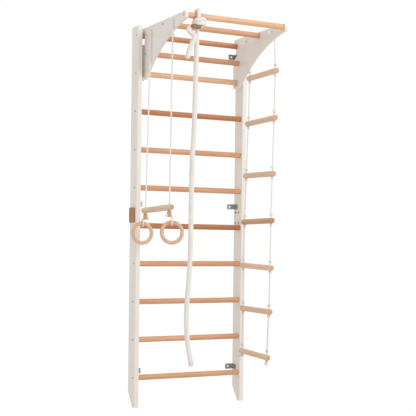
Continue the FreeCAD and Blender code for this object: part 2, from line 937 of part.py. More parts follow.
def ring_loop(index, name):
    """Loop of rope from beside a toggle round the top of a ring and back."""
    turn = math.radians(ring_turns[index])
    facing = Vector(-math.sin(turn), math.cos(turn), 0)
    centre = ring_centre(index) + UP * ring_radius
    loop_radius = ring_tube_diameter / 2 + loop_fit + thin_radius
    spread = loop_end_spread / 2
    rise = ring_drops[index] - ring_radius - ring_knuckle_diameter / 2 - running_gap
    lean = math.atan2(loop_radius - spread, rise)
    rise += thin_radius * math.sin(lean)
    distance = math.hypot(spread, rise)
    angle = math.acos(loop_radius / distance) + math.atan2(spread, rise)

    def place(sideways, up):
        return centre + facing * sideways + UP * up

    touch_out = loop_radius * math.sin(angle)
    touch_up = loop_radius * math.cos(angle)
    path = Part.Wire(
        [
            Part.LineSegment(place(spread, rise), place(touch_out, touch_up)).toShape(),
            Part.Arc(
                place(touch_out, touch_up), place(0, -loop_radius), place(-touch_out, touch_up)
            ).toShape(),
            Part.LineSegment(place(-touch_out, touch_up), place(-spread, rise)).toShape(),
        ]
    )
    return tube(name, path, thin_rope_diameter)


# Rope ladder on the right plate

ladder_top_height = rope_hole_height - ladder_top_drop


def ladder_centre(index):
    """Centre of a ladder rung, counted from 0 at the top."""
    across = plate_outer + ladder_plate_gap + knot_diameter / 2
    lean = (ladder_bottom_reach - ladder_top_reach) * ladder_lean_shares[index]
    drop = (ladder_top_height - ladder_bottom_height) * ladder_drop_shares[index]
    return Vector(across, reach_y(ladder_top_reach + lean), ladder_top_height - drop)


def ladder_hole(index, end):
    """Where a rope passes a ladder rung's axis, at its front end 0 or its rear end 1."""
    direction = turned(ladder_turns_deg[index], ladder_tilts_deg[index])
    half = direction * rope_hole_gap / 2
    return ladder_centre(index) + (half if end == 0 else -half)


def ladder_rope_points(end):
    """Route of one ladder rope through all the rungs."""
    y, z = rope_holes[end]
    points = [Vector(hang_x, y, z - hang_drop)]
    points += [ladder_hole(index, end) for index in range(len(ladder_drop_shares))]
    below = ladder_rung_diameter / 2 + running_gap + knot_height + ladder_tail
    points.append(points[-1] - UP * below)
    return points


def ladder_knots(end):
    """Knots above and below every rung on one ladder rope."""
    points = ladder_rope_points(end)
    knots = []
    for index in range(len(ladder_drop_shares)):
        hole = points[index + 1]
        above = (points[index] - hole).normalize()
        below = (points[index + 2] - hole).normalize()
        lift = ladder_rung_diameter / 2 + ladder_knot_lift
        drop = ladder_rung_diameter / 2 + running_gap + knot_height / 2
        knots.append(rope_knot(hole + above * lift, above))
        knots.append(rope_knot(hole + below * drop, below))
    return knots


def ladder_rung(index):
    """Round rung of the rope ladder."""
    return hung_bar(
        ladder_centre(index),
        turned(ladder_turns_deg[index], ladder_tilts_deg[index]),
        ladder_rung_length,
        ladder_rung_diameter,
        ladder_rung_round,
        [ladder_hole(index, end) for end in (0, 1)],
    )


# Climbing rope round the front bar

knot_axis = Vector(-plate_inner + climbing_rope_setout, front_bar_y, front_bar_z)
exit_point = Vector(-plate_inner + exit_setout, front_bar_y, front_bar_z - knot_to_exit)
rope_toggle_middle = Vector(
    -plate_inner + rope_toggle_setout,
    front_bar_y - core_radius - running_gap - rope_toggle_diameter / 2,
    front_bar_z - rope_toggle_drop,
)
rope_toggle_end = rope_toggle_middle - ACROSS * rope_toggle_length / 2


def route(places):
    """Points of a route given as (across, forward, down) places from the rope's exit."""
    return [
        exit_point + ACROSS * across - INTO_WALL * forward - UP * down
        for across, forward, down in places
    ]


climbing_rope_points = route([(across, 0, down) for across, down in climbing_rope_route])


def climbing_rope_loop(across):
    """One turn of the rope over the bar, down to the knot on both sides."""
    loop_radius = bar_radius + running_gap + strand_radius
    legs_end = front_bar_z - wrap_lower_drop
    middle = knot_axis + ACROSS * across
    start = middle - INTO_WALL * loop_radius
    end = middle + INTO_WALL * loop_radius
    path = Part.Wire(
        [
            Part.LineSegment(Vector(start.x, start.y, legs_end), start).toShape(),
            Part.Arc(start, middle + UP * loop_radius, end).toShape(),
            Part.LineSegment(end, Vector(end.x, end.y, legs_end)).toShape(),
        ]
    )
    return tube("climbing_rope_knot", path, knot_strand_diameter)


def climbing_rope_knot():
    """Two turns of the rope over the bar, the knot's wraps and core, and the short tail."""
    core_bottom = exit_point + UP * core_lift
    core_top = Vector(exit_point.x, exit_point.y, front_bar_z - wrap_lower_drop)
    knot = rod(2 * core_radius, core_bottom, core_top)
    for drop, tilt in (
        (wrap_upper_drop, wrap_upper_tilt_deg),
        (wrap_lower_drop, wrap_lower_tilt_deg),
    ):
        wrap = Part.makeTorus(wrap_radius, strand_radius)
        wrap.rotate(Vector(0, 0, 0), INTO_WALL, tilt)
        wrap.translate(knot_axis - UP * drop)
        knot = knot.fuse(wrap)
    bar_end = ACROSS * plate_inner
    axis = Vector(0, front_bar_y, front_bar_z)
    bar_room = rod(bar_diameter + 4 * running_gap, axis - bar_end, axis + bar_end)
    toggle_room = rod(
        rope_toggle_diameter + 2 * running_gap,
        rope_toggle_end - ACROSS * running_gap,
        rope_toggle_end + ACROSS * (rope_toggle_length + running_gap),
    )
    rope_room = Part.makeSphere(rope_radius + running_gap, exit_point)
    knot = knot.cut(bar_room).cut(toggle_room).cut(rope_room)
    for across in (-loop_spacing, 0):
        knot = knot.fuse(climbing_rope_loop(across))
    return knot.fuse(cord("climbing_rope_tail", route(tail_route), climbing_rope_diameter))


def climbing_rope():
    """Climbing rope, whose rounded top turns in a hollow under the knot."""
    rope = cord("climbing_rope", climbing_rope_points, climbing_rope_diameter)
    upwards = climbing_rope_points[0] - climbing_rope_points[1]
    top = Part.makeSphere(rope_radius, climbing_rope_points[0], upwards, 0, 90, 360)
    return rope.fuse(top)


def climbing_rope_toggle():
    """Wooden toggle across the front of the knot."""
    end_diameter = rope_toggle_diameter * toggle_end_diameter / toggle_diameter
    return barrel(
        rope_toggle_end, ACROSS, rope_toggle_length, rope_toggle_diameter, end_diameter
    )


def climbing_rope_whipping():
    """Tape wound round the rope's lower end, and closed under it."""
    end = climbing_rope_points[-1]
    along = (end - climbing_rope_points[-2]).normalize()
    band = rod(whipping_diameter, end - along * whipping_length, end + along * whipping_fit)
    inside = rod(
        climbing_rope_diameter + 2 * whipping_fit, end - along * (whipping_length + overrun), end
    )
    cap = rod(whipping_diameter, end, end + along * (whipping_fit + screw_clearance))
    return band.cut(inside).fuse(cap).removeSplitter()


# Writing the parts

def write(name, shape):
    """Writes one node's solids as a STEP file, moved to the wall screws' centre."""
    solids = shape if isinstance(shape, list) else [shape]
    compound = Part.makeCompound(solids) if len(solids) > 1 else solids[0]
    moved = compound.copy()
    moved.translate(Vector(0, 0, -wall_mount_height))
    print(f"{name}: {len(moved.Solids)} solids, valid {moved.isValid()}")
    moved.exportStep(f"parts/{name}.step")


os.makedirs("parts", exist_ok=True)

sides = {"left": -1, "right": 1}
for side_name, side in sides.items():
    write(f"{side_name}_upright_lower", lower_board(side))
    write(f"{side_name}_upright_upper", upper_board(side))
    write(f"{side_name}_joint_plate", joint_plate(side))
    for height_name, height in (
        ("bottom", bracket_bottom_height),
        ("middle", bracket_middle_height),
        ("top", bracket_top_height),
    ):
        write(f"wall_bracket_{side_name}_{height_name}", wall_bracket(side, height))
    write(f"{side_name}_frame_plate", frame_plate(side))

write("joint_bolts", [joint_bolt(side, at) for side in (-1, 1) for at in joint_bolt_places(side)])
write("joint_insert_nuts", [insert_nut(side, at) for side in (-1, 1) for at in joint_bolt_places(side)])
for index in range(rung_count):
    write(f"wall_rung_{index + 1:02d}", wall_rung(rung_height(index)))
write("rung_screws", rung_screws())
write(
    "bracket_screws",
    [
        bracket_screw(side, height)
        for side in (-1, 1)
        for height in (bracket_bottom_height, bracket_middle_height, bracket_top_height)
    ],
)

write("pull_up_bar_front", frame_bar(front_bar_y, front_bar_z))
write("pull_up_bar_middle", frame_bar(middle_bar_y, middle_bar_z))
write("pull_up_bar_rear", frame_bar(rear_bar_y, rear_bar_z))
write("frame_bar_screws", bar_screws())
write("trapeze_rope_stops", [plate_rope_stop(-1, y, z) for y, z in rope_holes])
write("ladder_rope_stops", [plate_rope_stop(1, y, z) for y, z in rope_holes])

write("climbing_rope_knot", climbing_rope_knot())
write("climbing_rope_toggle", climbing_rope_toggle())
write("climbing_rope", climbing_rope())
write("climbing_rope_whipping", climbing_rope_whipping())

write(
    "trapeze_bar",
    hung_bar(
        trapeze_centre,
        trapeze_direction,
        trapeze_bar_length,
        trapeze_bar_diameter,
        trapeze_bar_round,
        trapeze_holes,
    ),
)
ends = ("front", "rear")
for index, end_name in enumerate(ends):
    write(f"trapeze_rope_{end_name}", trapeze_rope(index, f"trapeze_rope_{end_name}"))
    write(f"trapeze_toggle_{end_name}", toggle(index))
    write(f"ring_{end_name}", ring(index))
    write(f"ring_loop_{end_name}", ring_loop(index, f"ring_loop_{end_name}"))
top, along = toggle_axis(0)
slip_knot = rope_knot(hang_point(0) + along * trapeze_knot_drop, along)
write("trapeze_knots", [slip_knot] + [toggle_rope_stop(index) for index in (0, 1)])

for index in range(len(ladder_drop_shares)):
    write(f"ladder_rung_{index + 1}", ladder_rung(index))
for index, end_name in enumerate(ends):
    points = ladder_rope_points(index)
    name = f"ladder_rope_{end_name}"
    write(name, cord(name, points, thin_rope_diameter, taut_bend_radius))
    write(f"ladder_knots_{end_name}", ladder_knots(index))
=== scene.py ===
"""Children's wall bars with a hook-on pull-up frame, a knotted climbing rope, a trapeze with two
rings and a rope ladder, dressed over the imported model."""

import json
import math

import bmesh
import bpy
from mathutils import Matrix, Vector


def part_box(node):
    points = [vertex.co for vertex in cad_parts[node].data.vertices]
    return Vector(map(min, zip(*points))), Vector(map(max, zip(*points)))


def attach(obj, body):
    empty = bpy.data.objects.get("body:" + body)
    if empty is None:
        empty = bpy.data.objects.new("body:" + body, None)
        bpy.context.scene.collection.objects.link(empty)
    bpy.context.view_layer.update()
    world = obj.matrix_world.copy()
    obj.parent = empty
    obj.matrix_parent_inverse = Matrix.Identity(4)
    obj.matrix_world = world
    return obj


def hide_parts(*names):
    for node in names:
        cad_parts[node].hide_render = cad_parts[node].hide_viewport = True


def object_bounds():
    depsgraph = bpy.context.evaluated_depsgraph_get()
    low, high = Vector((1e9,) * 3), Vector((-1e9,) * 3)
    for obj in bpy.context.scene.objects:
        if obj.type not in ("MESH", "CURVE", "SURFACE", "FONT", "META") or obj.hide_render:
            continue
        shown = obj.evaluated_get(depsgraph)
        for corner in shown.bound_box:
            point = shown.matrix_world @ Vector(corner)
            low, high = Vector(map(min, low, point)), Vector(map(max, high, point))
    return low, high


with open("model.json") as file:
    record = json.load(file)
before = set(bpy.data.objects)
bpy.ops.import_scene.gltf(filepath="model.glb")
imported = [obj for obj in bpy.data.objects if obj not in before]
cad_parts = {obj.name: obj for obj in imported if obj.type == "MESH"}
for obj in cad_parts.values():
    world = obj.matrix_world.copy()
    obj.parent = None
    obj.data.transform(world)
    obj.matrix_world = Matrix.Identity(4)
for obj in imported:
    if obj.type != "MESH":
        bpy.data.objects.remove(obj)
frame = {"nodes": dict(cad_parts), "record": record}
cad_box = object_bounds()
nodes = frame["nodes"]

mm = 0.001
UP = Vector((0, 0, 1))
ACROSS = Vector((1, 0, 0))

# Camera: its place, in metres from the middle of the wall screws, and its lens
camera_place = (-2.482, -5.285, -0.195)
camera_yaw_deg = -26.51
camera_roll_deg = 0.67
camera_lens = 84.13
camera_sensor = 36
camera_shift = 0.0846
camera_reach = 100

# Studio: how white the sky and the floor light the object, and how white they look, which is
# just over 1 so that rounding leaves no grey. The lamp's sizes are in metres and watts.
sky_level = 0.78
floor_level = 0.86
backdrop_level = 1.01
floor_half = 30
lamp_place = Vector((1.6, -4.6, 2.6))
lamp_aim = Vector((0, -0.2, 0))
lamp_size = 3.2
lamp_power = 78

# Ropes: their diameters, the strands round them and the sides that their meshes have
thin_rope_diameter = 8 * mm
climbing_rope_diameter = 26 * mm
knot_strand_diameter = 22 * mm
tight_knot_diameter = 7.2 * mm
thin_strands, thin_sides = 4, 12
thick_strands, thick_sides = 10, 40
# Steps that their lines take from one control point to the next
climbing_rope_steps = 66
tail_steps = 30
knot_strand_steps = 14
tight_knot_steps = 4
rope_end_steps = 10
straight_rope_steps, bent_rope_steps = 500, 170


# Materials

def shade(red, green, blue):
    """Linear colour of a shade that is written as it looks, from 0 to 255."""
    parts = []
    for value in (red, green, blue):
        value /= 255
        parts.append(value / 12.92 if value <= 0.04045 else ((value + 0.055) / 1.055) ** 2.4)
    return (*parts, 1)


class Wire:
    """An output of a node, which adds Math nodes when it is used in an expression."""

    def __init__(self, finish, socket):
        self.finish = finish
        self.socket = socket

    def math(self, operation, first, second):
        return self.finish.node(
            "ShaderNodeMath", {"operation": operation}, {0: first, 1: second}
        )

    def __add__(self, other):
        return self.math("ADD", self, other)

    def __mul__(self, other):
        return self.math("MULTIPLY", self, other)

    __radd__ = __add__
    __rmul__ = __mul__


class Finish:
    """A node tree, of a material or of the world."""

    def __init__(self, owner):
        owner.use_nodes = True
        self.owner = owner
        self.tree = owner.node_tree

    def node(self, kind, settings=None, inputs=None, output=0):
        """Adds a node of a type with its settings and its sockets' values or links."""
        made = self.tree.nodes.new(kind)
        for name, value in (settings or {}).items():
            setattr(made, name, value)
        self.feed(made, inputs or {})
        return Wire(self, made.outputs[output])

    def feed(self, made, inputs):
        """Sets or links a node's sockets."""
        for name, value in inputs.items():
            if isinstance(value, Wire):
                self.tree.links.new(value.socket, made.inputs[name])
            else:
                made.inputs[name].default_value = value

    def surface(self, **inputs):
        """Sets or links the sockets of the material's shader."""
        names = {name.replace("_", " "): value for name, value in inputs.items()}
        self.feed(self.tree.nodes["Principled BSDF"], names)
        return self.owner

    def place(self):
        """Object coordinates."""
        return self.node("ShaderNodeTexCoord", output="Object")

    def noise(self, stretch, detail=3, roughness=0.5):
        """Noise from 0 to 1 on stretched coordinates, which count as cells to the metre."""
        where = {"Vector": self.place(), "Scale": stretch}
        return self.node(
            "ShaderNodeTexNoise",
            inputs={
                "Vector": self.node("ShaderNodeMapping", inputs=where),
                "Scale": 1,
                "Detail": detail,
                "Roughness": roughness,
            },
        )

    def ramp(self, value, low, high):
        """Goes from 0 at a low value to 1 at a high one."""
        return self.node(
            "ShaderNodeMapRange",
            {"clamp": True, "interpolation_type": "SMOOTHSTEP"},
            {"Value": value, "From Min": low, "From Max": high},
        )

    def blend(self, share, first, second, way="MIX"):
        """Colour between two, or a colour multiplied by another, by a share."""
        return self.node(
            "ShaderNodeMix",
            {"data_type": "RGBA", "blend_type": way},
            {"Factor": share, 6: first, 7: second},
            output=2,
        )

    def bump(self, height, strength, depth):
        """Normal of a surface that is raised where the height is high."""
        return self.node(
            "ShaderNodeBump", inputs={"Strength": strength, "Distance": depth, "Height": height}
        )


def new_finish(name):
    return Finish(bpy.data.materials.new(name))


def along(axis, lengthwise, crosswise):
    """Stretch that draws a pattern out along an axis."""
    return tuple(lengthwise if index == axis else crosswise for index in range(3))


def wood(name, colour, dark, axis, gloss=0.42, end_grain=None):
    """Oiled beech: soft streaks, fine pores and short dark flecks along the grain, and a
    darker end grain where the sawn ends show."""
    fleck_colour = (0.45, 0.3, 0.2, 1)
    pore_colour = (0.3, 0.2, 0.12, 1)
    finish = new_finish(name)
    streaks = finish.noise(along(axis, 5, 95), detail=4, roughness=0.6)
    drift = finish.noise(along(axis, 1.3, 9), detail=2)
    pores = finish.noise(along(axis, 70, 1500), detail=2)
    specks = finish.noise(along(axis, 190, 1250), detail=1)
    tone = finish.ramp(0.65 * streaks + 0.35 * drift, low=0.3, high=0.7)
    flecks = 0.35 * finish.ramp(specks, low=0.61, high=0.68)
    open_pores = 0.12 * finish.ramp(pores, low=0.55, high=0.75)
    base = finish.blend(tone, dark, colour)
    base = finish.blend(flecks, base, fleck_colour, "MULTIPLY")
    base = finish.blend(open_pores, base, pore_colour)
    if end_grain:
        lengthwise = finish.node(
            "ShaderNodeVectorMath",
            {"operation": "DOT_PRODUCT"},
            {0: finish.node("ShaderNodeTexCoord", output="Normal"), 1: along(axis, 1, 0)},
            output="Value",
        )
        sawn = finish.ramp(lengthwise.math("ABSOLUTE", lengthwise, 0), low=0.8, high=0.93)
        base = finish.blend(0.75 * sawn, base, end_grain)
    return finish.surface(
        Base_Color=base,
        Roughness=gloss + 0.12 * pores,
        Normal=finish.bump(pores + 0.6 * streaks, strength=0.25, depth=0.3 * mm),
        Coat_Weight=0.08,
        Coat_Roughness=0.35,
    )


def painted(name, colour, shadow, axis):
    """White satin lacquer over pine, whose grain just shows through it."""
    finish = new_finish(name)
    grain = finish.noise(along(axis, 3, 130), detail=4, roughness=0.6)
    mist = finish.noise(along(axis, 5, 11))
    stipple = finish.noise((900, 900, 900), detail=2)
    tone = finish.ramp(0.5 * grain + 0.5 * mist, low=0.35, high=0.7)
    return finish.surface(
        Base_Color=finish.blend(0.55 * tone, colour, shadow),
        Roughness=0.4 + 0.14 * mist,
        Normal=finish.bump(0.8 * grain + 0.2 * stipple, strength=0.22, depth=0.35 * mm),
        Coat_Weight=0.1,
        Coat_Roughness=0.3,
    )


def metal(name, colour, dull, roughness):
    """Plated steel or brass with brushed scratches and dull patches."""
    finish = new_finish(name)
    brushed = finish.noise((160, 160, 2400), detail=2)
    patches = finish.ramp(finish.noise((210, 210, 210)), low=0.42, high=0.62)
    return finish.surface(
        Base_Color=finish.blend(patches, colour, dull),
        Metallic=1.0,
        Roughness=roughness + 0.12 * patches,
        Normal=finish.bump(brushed, strength=0.15, depth=0.1 * mm),
    )


def cotton(name, colour, groove_shade_colour, low_shade_colour=None):
    """Plaited cotton: painted shade in the plait's grooves, with fine fibres and faint soiling,
    and painted shade that greys it towards the floor if a colour for that is given."""
    soil_colour = shade(205, 190, 170)
    fibre_colour = shade(190, 176, 160)
    finish = new_finish(name)
    # Painted shade: the rope turns greyer towards the floor
    if low_shade_colour:
        height = finish.node("ShaderNodeSeparateXYZ", inputs={"Vector": finish.place()}, output="Z")
        colour = finish.blend(finish.ramp(height, low=-1.0, high=0.1), low_shade_colour, colour)
    groove = finish.node("ShaderNodeAttribute", {"attribute_name": "groove"}, output="Fac")
    fibres = finish.noise((1500, 1500, 1500), roughness=0.7)
    soil = finish.ramp(finish.noise((14, 14, 14)), low=0.4, high=0.75)
    # Painted shade: the plait's grooves are darkened between the strands
    base = finish.blend(groove, colour, groove_shade_colour)
    base = finish.blend(0.12 * soil, base, soil_colour)
    base = finish.blend(0.1 * fibres, base, fibre_colour)
    return finish.surface(
        Base_Color=base,
        Roughness=0.88,
        Sheen_Weight=0.25,
        Sheen_Roughness=0.5,
        Normal=finish.bump(fibres, strength=0.35, depth=0.3 * mm),
    )


# The axes along which a finish's grain can run
X, Y, Z = range(3)
finishes = {
    "white_board": painted("white_lacquer", shade(244, 237, 229), shade(233, 224, 214), Z),
    "plate_lacquer": painted("plate_lacquer", shade(244, 237, 229), shade(233, 224, 214), Y),
    "joint_plate_wood": wood(
        "joint_plate_oak", shade(188, 134, 86), shade(160, 106, 62), Z, gloss=0.5
    ),
    "beech": wood("rung_beech", shade(228, 175, 132), shade(208, 149, 106), X),
    "dark_beech": wood("dark_rung_beech", shade(202, 133, 82), shade(175, 104, 60), X),
    "pale_beech": wood("frame_bar_beech", shade(240, 194, 154), shade(226, 172, 127), X),
    "warm_beech": wood("warm_rung_beech", shade(218, 156, 112), shade(194, 128, 86), X),
    "ladder_beech": wood(
        "ladder_beech",
        shade(242, 211, 181),
        shade(224, 186, 152),
        Y,
        end_grain=shade(206, 150, 110),
    ),
    "dark_ladder_beech": wood(
        "dark_ladder_beech",
        shade(226, 180, 142),
        shade(200, 150, 114),
        Y,
        end_grain=shade(184, 128, 90),
    ),
    "ring_beech": wood("ring_beech", shade(238, 205, 170), shade(218, 180, 144), Y),
    "toggle_wood": wood("toggle_beech", shade(228, 188, 150), shade(200, 156, 118), Z),
    # A darker copy of the toggle wood: painted shade for the climbing rope's toggle, in the shadow
    # of its knot
    "shaded_toggle_wood": wood("shaded_toggle_beech", shade(172, 126, 90), shade(140, 98, 66), X),
    # Each cotton's second colour is painted shade in the plait's grooves
    "thin_rope": cotton("thin_cotton", shade(253, 251, 248), shade(240, 235, 228)),
    # The ladder rope's third colour is painted shade towards the floor
    "ladder_rope": cotton(
        "ladder_cotton", shade(250, 247, 243), shade(236, 229, 221), shade(222, 212, 203)
    ),
    "climbing_rope_cotton": cotton(
        "climbing_cotton", shade(252, 248, 243), shade(230, 221, 210)
    ),
    "tape": cotton("whipping_thread", shade(240, 231, 217), shade(200, 186, 166)),
    "zinc_plate": metal("zinc_plate", shade(192, 192, 190), shade(164, 164, 162), 0.4),
    # A darker copy of the zinc plate: painted shade for the top wall brackets, which sit in shadow
    "shaded_zinc_plate": metal("shaded_zinc_plate", shade(166, 164, 157), shade(138, 135, 128), 0.45),
    "dark_bolt": metal("dark_bolt", shade(96, 90, 84), shade(70, 65, 60), 0.45),
    "brass_screw": metal("brass_screw", shade(180, 138, 52), shade(128, 94, 34), 0.42),
}
# Pieces whose finish is paler, darker or turned the other way from their slot's; the darker
# copies on the climbing rope's toggle and the top wall brackets are painted shade
own_finish = {
    "wall_rung_09": "pale_beech",
    "wall_rung_10": "warm_beech",
    "pull_up_bar_middle": "beech",
    "pull_up_bar_rear": "beech",
    "climbing_rope_toggle": "shaded_toggle_wood",
    "left_frame_plate": "plate_lacquer",
    "right_frame_plate": "plate_lacquer",
    "wall_bracket_left_top": "shaded_zinc_plate",
    "wall_bracket_right_top": "shaded_zinc_plate",
    "ring_front": "ring_beech",
    "ring_rear": "ring_beech",
    "ladder_tied_knots_front": "ladder_rope",
    "ladder_tied_knots_rear": "ladder_rope",
    "ladder_rope_front_plait": "ladder_rope",
    "ladder_rope_rear_plait": "ladder_rope",
}
for part in frame["record"]["subparts"]:
    finish_name = own_finish.get(part["node"], part["material_slot"])
    for holder in nodes[part["node"]].material_slots:
        holder.material = finishes[finish_name]


# Meshes and pieces

def mesh_of(name, shape):
    """Turns a finished bmesh into a mesh."""
    mesh = bpy.data.meshes.new(name)
    shape.to_mesh(mesh)
    shape.free()
    return mesh


def stand(name, mesh, slot, body, replaced):
    """Puts a finished mesh into the scene, in place of a node and on its body."""
    piece = bpy.data.objects.new(name, mesh)
    bpy.context.scene.collection.objects.link(piece)
    piece.data.materials.clear()
    piece.data.materials.append(finishes[own_finish.get(piece.name, slot)])
    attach(piece, body)
    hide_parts(replaced)
    return piece


def stand_joined(name, parts, slot, body, replaced):
    """Puts one mesh out of several into the scene, each with its own place."""
    shape = bmesh.new()
    for mesh, place in parts:
        copy = mesh.copy()
        copy.transform(place)
        shape.from_mesh(copy)
        bpy.data.meshes.remove(copy)
    return stand(name, mesh_of(name, shape), slot, body, replaced)


def facing(place, direction, turn_deg=0, size=1):
    """Puts a thing that stands up at a place, leaning along a direction."""
    lean = UP.rotation_difference(Vector(direction)).to_matrix().to_4x4()
    turn = Matrix.Rotation(math.radians(turn_deg), 4, "Z")
    return Matrix.Translation(place) @ lean @ turn @ Matrix.Scale(size, 4)


def metres(places):
    return [Vector(place) * mm for place in places]


# Ropes

def rope_line(name, points, steps):
    """A curve whose smooth line a rope's points control, and the points along that line."""
    data = bpy.data.curves.new(name, "CURVE")
    data.dimensions = "3D"
    spline = data.splines.new("NURBS")
    spline.points.add(len(points) - 1)
    for point, place in zip(spline.points, points):
        point.co = (*place, 1)
    spline.order_u = 3
    spline.use_endpoint_u = True
    spline.resolution_u = steps
    line = bpy.data.objects.new(name, data)
    bpy.context.scene.collection.objects.link(line)
    bpy.context.view_layer.update()
    mesh = bpy.data.meshes.new_from_object(line)
    places = [vertex.co.copy() for vertex in mesh.vertices]
    bpy.data.meshes.remove(mesh)
    return line, places


def strand_height(across, length):
    """How far a strand stands up, from 0 to 1, at a place counted in strands."""
    rounding, waist_rounding = 0.6, 0.5
    low_waist, waist_rise = 0.55, 0.45
    height = abs(math.sin(math.pi * across)) ** rounding
    return height * (low_waist + waist_rise * abs(math.sin(math.pi * length)) ** waist_rounding)


def plait(name, points, diameter, strands, steps, sides, end_share=0.5):
    """Mesh of a plaited rope: a tube along its line, with the strands' crossings raised, and
    rounded over a share of its diameter at both ends."""
    depth_share = 0.14
    even_height = 0.6
    least_end = 0.12
    line, places = rope_line(name + "_line", points, steps)
    line.data.bevel_depth = diameter / 2
    line.data.bevel_resolution = sides // 2 - 2
    bpy.context.view_layer.update()
    mesh = bpy.data.meshes.new_from_object(line)
    bpy.data.objects.remove(line)
    mesh.name = name
    runs = [0.0]
    for first, second in zip(places, places[1:]):
        runs.append(runs[-1] + (second - first).length)
    cell = math.pi * diameter / strands
    # The groove attribute marks the grooves that the cotton finish darkens with painted shade
    groove = mesh.attributes.new("groove", "FLOAT", "POINT")
    end_round = diameter * end_share
    for index, vertex in enumerate(mesh.vertices):
        ring, side = divmod(index, sides)
        turn = side / sides * strands
        run = runs[ring] / cell
        one, other = turn + run, turn - run
        over = (math.floor(one) + math.floor(other)) % 2 == 0
        height = strand_height(one, other) if over else strand_height(other, one)
        groove.data[index].value = 1 - height
        swell = 1 + depth_share * (height - even_height)
        near = min(runs[ring], runs[-1] - runs[ring])
        if near < end_round:
            swell *= math.sqrt(max(least_end, 1 - (1 - near / end_round) ** 2))
        middle = places[ring]
        vertex.co = middle + (vertex.co - middle) * swell
    shape = bmesh.new()
    shape.from_mesh(mesh)
    bmesh.ops.holes_fill(shape, edges=shape.edges, sides=0)
    for face in shape.faces:
        face.smooth = len(face.verts) == 4
    shape.to_mesh(mesh)
    shape.free()
    return mesh, places


def thick_rope(name, points, diameter, steps, body, replaced):
    mesh, places = plait(name, points, diameter, thick_strands, steps, thick_sides)
    return stand(name, mesh, "climbing_rope_cotton", body, replaced), places


# The climbing rope and its tail: their points from the rope's exit under its knot, as
# (across, forward, down) places in millimetres
climbing_exit = Vector((-0.2340, -0.6180, 0.9385))
climbing_rope_route = (
    (0.0, 0.0, 0.0),
    (-2.0, 0.0, 111.0),
    (-5.0, 0.0, 274.0),
    (-8.0, 0.0, 451.0),
    (-12.0, 0.0, 574.0),
    (-18.5, 0.0, 650.0),
    (-21.0, 0.0, 745.0),
    (-22.0, 0.0, 850.0),
    (-22.3, 0.0, 990.0),
    (-23.2, 0.0, 1130.0),
    (-25.5, 0.0, 1240.0),
    (-32.5, 0.0, 1345.0),
    (-40.0, 0.0, 1435.0),
    (-43.5, 0.0, 1520.0),
    (-41.0, 0.0, 1607.0),
    (-30.5, 0.0, 1695.0),
    (-9.5, 0.0, 1790.0),
)
tail_route = (
    (-8.0, 6.0, -16.0),
    (-34.0, 9.0, -16.0),
    (-55.0, 14.0, -3.0),
    (-58.0, 22.0, 17.0),
    (-40.0, 29.0, 27.0),
    (-29.0, 33.0, 40.0),
    (-35.0, 33.0, 62.0),
    (-50.0, 32.0, 92.0),
    (-63.0, 31.0, 128.0),
    (-70.0, 31.0, 164.0),
)


def hung(route):
    """Places of a route that starts at the rope's exit."""
    return [
        climbing_exit + Vector((across, -forward, -down)) * mm for across, forward, down in route
    ]


climbing_rope, climbing_line = thick_rope(
    "climbing_rope_plait",
    hung(climbing_rope_route),
    climbing_rope_diameter,
    climbing_rope_steps,
    "climbing_rope",
    "climbing_rope",
)
tail, tail_line = thick_rope(
    "climbing_rope_tail",
    hung(tail_route),
    climbing_rope_diameter,
    tail_steps,
    "rope_knot",
    "climbing_rope_knot",
)

# Thread wound round the rope's lower end, and the low dome that closes it
thread = 1.6 * mm
windings = 13
winding_gap = 0.6 * mm
winding_steps = 4
thread_rise_share = 0.35
thread_bed = 0.3 * mm
thread_tuck = 2 * mm
dome_shares = (0.35, 0.65, 0.88)
dome_height_share = 0.55
first_winding_share = 0.45
winding_sides = 40
straight_end_steps = 12


def whipping():
    """Winds the thread round the rope's rounded lower end."""
    end = climbing_line[-1]
    along_rope = (climbing_line[-straight_end_steps] - end).normalized()
    radius = climbing_rope_diameter / 2 + winding_gap
    shape = bmesh.new()
    outline = [shape.verts.new((0, 0, -winding_gap))]
    for share in dome_shares:
        rise = radius * (1 - math.sqrt(1 - share**2)) * dome_height_share
        outline.append(shape.verts.new((radius * share, 0, rise - winding_gap)))
    foot = radius * first_winding_share
    for index in range(windings * winding_steps + 1):
        swell = abs(math.sin(math.pi * index / winding_steps)) * thread * thread_rise_share
        height = foot + thread * index / winding_steps
        outline.append(shape.verts.new((radius + swell - thread_bed, 0, height)))
    outline.append(shape.verts.new((radius - thread_tuck, 0, foot + thread * windings)))
    edges = [shape.edges.new(pair) for pair in zip(outline, outline[1:])]
    bmesh.ops.spin(
        shape,
        geom=outline + edges,
        axis=UP,
        cent=(0, 0, 0),
        angle=math.tau,
        steps=winding_sides,
        use_merge=True,
    )
    bmesh.ops.remove_doubles(shape, verts=shape.verts, dist=0.01 * mm)
    bmesh.ops.recalc_face_normals(shape, faces=shape.faces)
    for face in shape.faces:
        face.smooth = True
    mesh = mesh_of("climbing_rope_end_winding", shape)
    mesh.transform(facing(end, along_rope))
    return stand(
        "climbing_rope_end_winding", mesh, "tape", "climbing_rope", "climbing_rope_whipping"
    )


end_winding = whipping()

